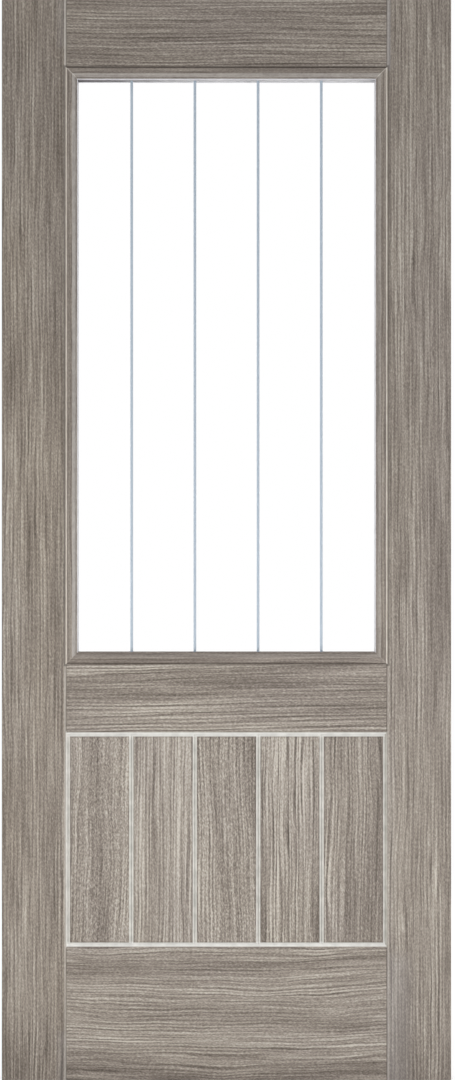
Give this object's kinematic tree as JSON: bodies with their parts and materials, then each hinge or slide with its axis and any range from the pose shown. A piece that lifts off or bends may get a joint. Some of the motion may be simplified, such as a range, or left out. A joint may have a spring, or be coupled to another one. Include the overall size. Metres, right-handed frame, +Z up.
{
  "type": "glazed interior door leaf",
  "caption": "Interior door leaf in pale taupe wood finish, with a tall clear pane held by mitred beads above a flush boarded panel with V-grooves.",
  "frame": {"origin": "on the face of the left edge, which is taken as the hinge edge, midway up the leaf and midway through its thickness", "axes": "+X across the leaf from the hinge edge to the lock edge, +Y from the front face to the back face, +Z up along the stiles"},
  "size_m": [0.844, 0.046, 2.03],
  "materials": {
    "frame_laminate": "satin grey taupe wood-grain laminate on a timber core",
    "board_laminate": "satin grey taupe wood-grain laminate, a shade lighter, with pale silver V-grooves",
    "bead_laminate": "satin grey taupe wood-grain laminate on moulded beads",
    "glazing_tape": "matt pale grey",
    "pane_glass": "clear polished float glass with cut lines"
  },
  "bodies": {
    "root": {"back_bottom_bead": "bead_laminate", "back_glazing_tape": "glazing_tape", "back_left_bead": "bead_laminate", "back_right_bead": "bead_laminate", "back_top_bead": "bead_laminate", "bottom_rail": "frame_laminate", "front_bottom_bead": "bead_laminate", "front_glazing_tape": "glazing_tape", "front_left_bead": "bead_laminate", "front_right_bead": "bead_laminate", "front_top_bead": "bead_laminate", "glass_pane": "pane_glass", "left_stile": "frame_laminate", "lock_rail": "frame_laminate", "panel_board_1": "board_laminate", "panel_board_2": "board_laminate", "panel_board_3": "board_laminate", "panel_board_4": "board_laminate", "panel_board_5": "board_laminate", "right_stile": "frame_laminate", "top_rail": "frame_laminate"}
  },
  "joints": []
}
